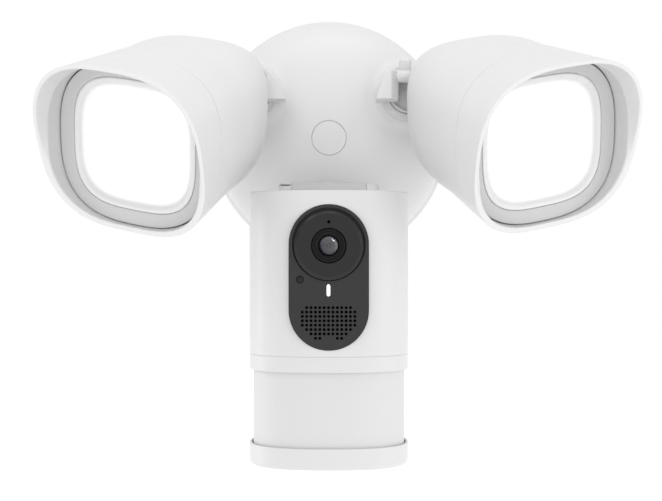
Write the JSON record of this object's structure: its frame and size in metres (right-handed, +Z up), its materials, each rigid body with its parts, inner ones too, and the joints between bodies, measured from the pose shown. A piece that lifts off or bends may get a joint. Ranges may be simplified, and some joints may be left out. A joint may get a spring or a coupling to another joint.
{
  "type": "floodlight security camera",
  "caption": "Round wall base carrying two hooded swivelling lamp heads and, on an arm below, a column-shaped camera head with a front panel, a motion window and a pressable button.",
  "frame": {"origin": "centre of the round base where its back meets the wall", "axes": "+Z up, -Y the way the camera looks, +X the viewer's right"},
  "size_m": [0.2975, 0.1795, 0.2399],
  "materials": {
    "white_plastic": "satin moulded white",
    "black_plastic": "fine textured black",
    "diffuser": "smooth opal",
    "window_plastic": "satin translucent white",
    "seal_rubber": "matt",
    "steel": "zinc plated",
    "heat_sink_alloy": "plain",
    "circuit_board": "solder mask",
    "optic_glass": "coated",
    "reflector_plastic": "bright white"
  },
  "bodies": {
    "base": {"base_housing": "white_plastic", "screw_cover": "white_plastic", "wall_gasket": "seal_rubber", "wall_bracket": "steel", "back_plate": "white_plastic", "fixing_screw": "steel", "supply_board": "circuit_board", "wire_gland": "seal_rubber", "terminal_block": "white_plastic", "camera_arm": "white_plastic", "pan_pin": "steel"},
    "swivel_left": {"lamp_swivel_left": "white_plastic", "clamp_screw_left": "steel", "swivel_nut_left": "white_plastic"},
    "head_left": {"lamp_front_shell_left": "white_plastic", "lamp_rear_shell_left": "white_plastic", "lamp_bezel_left": "white_plastic", "lamp_lens_left": "diffuser", "lens_gasket_left": "seal_rubber", "lamp_reflector_left": "reflector_plastic", "led_board_left": "circuit_board", "heat_sink_left": "heat_sink_alloy"},
    "swivel_right": {"lamp_swivel_right": "white_plastic", "clamp_screw_right": "steel", "swivel_nut_right": "white_plastic"},
    "head_right": {"lamp_front_shell_right": "white_plastic", "lamp_rear_shell_right": "white_plastic", "lamp_bezel_right": "white_plastic", "lamp_lens_right": "diffuser", "lens_gasket_right": "seal_rubber", "lamp_reflector_right": "reflector_plastic", "led_board_right": "circuit_board", "heat_sink_right": "heat_sink_alloy"},
    "pan_knuckle": {"pan_barrel": "white_plastic"},
    "camera_head": {"camera_front_shell": "white_plastic", "camera_rear_shell": "white_plastic", "camera_collar": "white_plastic", "motion_window": "window_plastic", "bottom_cap": "white_plastic", "face_panel": "black_plastic", "lens_surround": "black_plastic", "lens_barrel": "black_plastic", "lens_glass": "optic_glass", "status_light_pipe": "diffuser", "light_sensor_window": "optic_glass", "microphone": "steel", "speaker": "seal_rubber", "image_sensor_board": "circuit_board", "main_board": "circuit_board", "motion_board": "circuit_board", "motion_sensor_left": "steel", "motion_sensor_centre": "steel", "motion_sensor_right": "steel"},
    "button": {"sync_button": "seal_rubber"}
  },
  "joints": [
    {"name": "lamp_swivel_left", "type": "hinge", "parent": "base", "child": "swivel_left", "pos_m": [-0.044, -0.033, 0.023], "axis": [0, 1, 0], "range_deg": [0, 45]},
    {"name": "lamp_tilt_left", "type": "hinge", "parent": "swivel_left", "child": "head_left", "pos_m": [-0.044, -0.053, 0.0303], "axis": [1, 0, 0], "range_deg": [-30, 4]},
    {"name": "lamp_swivel_right", "type": "hinge", "parent": "base", "child": "swivel_right", "pos_m": [0.044, -0.033, 0.023], "axis": [0, -1, 0], "range_deg": [0, 45]},
    {"name": "lamp_tilt_right", "type": "hinge", "parent": "swivel_right", "child": "head_right", "pos_m": [0.044, -0.053, 0.0303], "axis": [1, 0, 0], "range_deg": [-30, 4]},
    {"name": "camera_pan", "type": "hinge", "parent": "base", "child": "pan_knuckle", "pos_m": [0, -0.062, -0.0365], "axis": [0, 0, 1], "range_deg": [-8, 8]},
    {"name": "camera_tilt", "type": "hinge", "parent": "pan_knuckle", "child": "camera_head", "pos_m": [0, -0.062, -0.0365], "axis": [1, 0, 0], "range_deg": [-10, 15]},
    {"name": "sync_button_press", "type": "slide", "parent": "camera_head", "child": "button", "axis": [0, 0, 1], "range_m": [0, 0.001], "stiffness_N_per_m": 400, "springref_m": -0.001}
  ]
}
